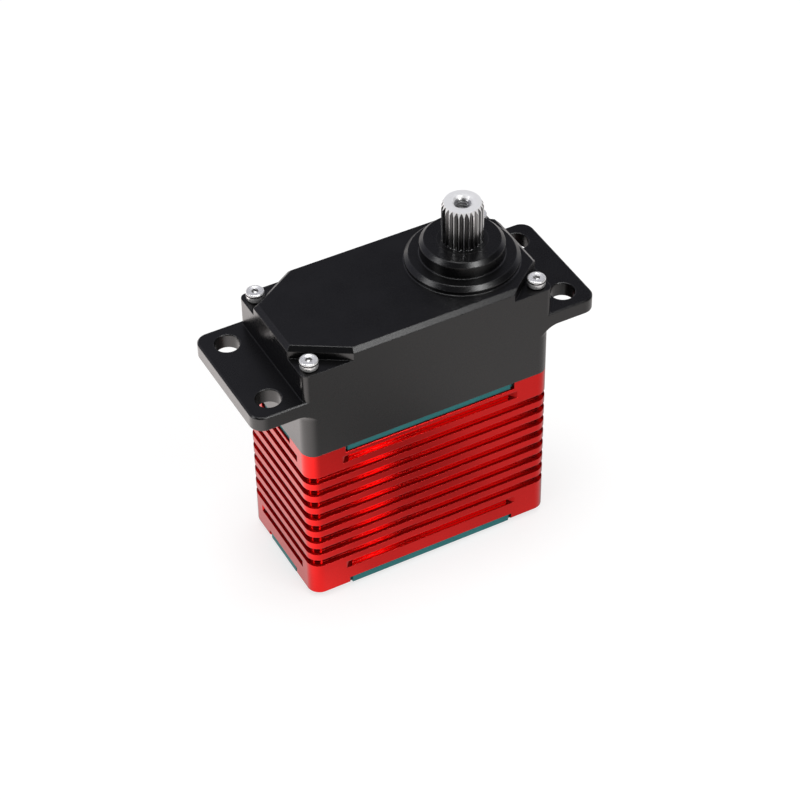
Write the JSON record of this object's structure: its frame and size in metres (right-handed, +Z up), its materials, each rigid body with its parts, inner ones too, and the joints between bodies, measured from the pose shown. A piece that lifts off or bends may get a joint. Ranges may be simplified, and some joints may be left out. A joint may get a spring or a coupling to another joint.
{
  "type": "hobby servo motor",
  "caption": "Metal-cased hobby servo motor with mounting ears, a finned heatsink body, a geared output shaft with a fine spline and a brushless motor inside.",
  "frame": {"origin": "centre of the four ear holes, on the underside of the ears", "axes": "+Z up the output shaft, +X from the motor towards the output shaft along the case, +Y across the case to the rear"},
  "size_m": [0.0552, 0.0204, 0.0565],
  "materials": {
    "black_anodised": "satin black anodised aluminium, finely blasted",
    "red_anodised": "semi-gloss red anodised aluminium",
    "seal_rubber": "matt teal silicone rubber",
    "black_rubber": "matt black rubber",
    "screw_steel": "bright stainless steel",
    "shaft_steel": "turned and hobbed bright steel",
    "gear_steel": "hardened gear steel",
    "bearing_steel": "ground bearing steel",
    "brass": "turned brass",
    "bronze": "sintered bronze",
    "motor_steel": "nickel-plated steel",
    "core_steel": "laminated core steel",
    "magnet": "nickel-plated magnet",
    "copper": "enamelled copper wire",
    "circuit_board": "green solder mask",
    "chip_plastic": "black chip moulding",
    "capacitor_can": "plain aluminium can",
    "solder": "bright solder"
  },
  "bodies": {
    "case": {"upper_case": "black_anodised", "heatsink_case": "red_anodised", "bottom_cover": "black_anodised", "upper_gasket": "seal_rubber", "lower_gasket": "seal_rubber", "upper_case_screws": "screw_steel", "bottom_cover_screws": "screw_steel", "cable_grommet": "black_rubber", "output_seal": "black_rubber", "upper_bearing_outer_ring": "bearing_steel", "upper_bearing_balls": "bearing_steel", "lower_bearing_outer_ring": "bearing_steel", "lower_bearing_balls": "bearing_steel", "gear_pin": "gear_steel", "motor_can": "motor_steel", "motor_rear_cap": "motor_steel", "motor_bushes": "bronze", "motor_screws": "screw_steel", "stator_core": "core_steel", "stator_windings": "copper", "sensor_board": "circuit_board", "sensor_chip": "chip_plastic", "control_board": "circuit_board", "control_chips": "chip_plastic", "power_transistors": "chip_plastic", "storage_capacitor": "capacitor_can", "wire_pads": "solder"},
    "output": {"output_shaft": "shaft_steel", "output_gear": "gear_steel", "shaft_clip": "gear_steel", "upper_bearing_inner_ring": "bearing_steel", "lower_bearing_inner_ring": "bearing_steel", "sensor_magnet": "magnet"},
    "gear_3": {"third_gear": "gear_steel"},
    "gear_2": {"second_gear": "gear_steel"},
    "gear_1": {"first_gear": "brass"},
    "rotor": {"motor_shaft": "shaft_steel", "rotor_magnet": "magnet", "motor_pinion": "brass"}
  },
  "joints": [
    {"name": "output_turn", "type": "hinge", "parent": "case", "child": "output", "pos_m": [0.0108, 0, 0], "axis": [0, 0, 1], "range_deg": [-90, 90]},
    {"name": "third_gear_turn", "type": "hinge", "parent": "case", "child": "gear_3", "pos_m": [0.0003, 0, 0], "axis": [0, 0, 1], "range_deg": [-226, 226]},
    {"name": "second_gear_turn", "type": "hinge", "parent": "case", "child": "gear_2", "pos_m": [0.0108, 0, 0], "axis": [0, 0, 1], "range_deg": [-580, 580]},
    {"name": "first_gear_turn", "type": "hinge", "parent": "case", "child": "gear_1", "pos_m": [0.0003, 0, 0], "axis": [0, 0, 1], "range_deg": [-1592, 1592]},
    {"name": "rotor_turn", "type": "hinge", "parent": "case", "child": "rotor", "pos_m": [-0.0084, 0, 0], "axis": [0, 0, 1], "range_deg": [-7640, 7640]}
  ],
  "couplings": [
    {"joint": "third_gear_turn", "follows": "output_turn", "ratio": -2.5},
    {"joint": "second_gear_turn", "follows": "output_turn", "ratio": 6.4286},
    {"joint": "first_gear_turn", "follows": "output_turn", "ratio": -17.679},
    {"joint": "rotor_turn", "follows": "output_turn", "ratio": 84.857}
  ]
}
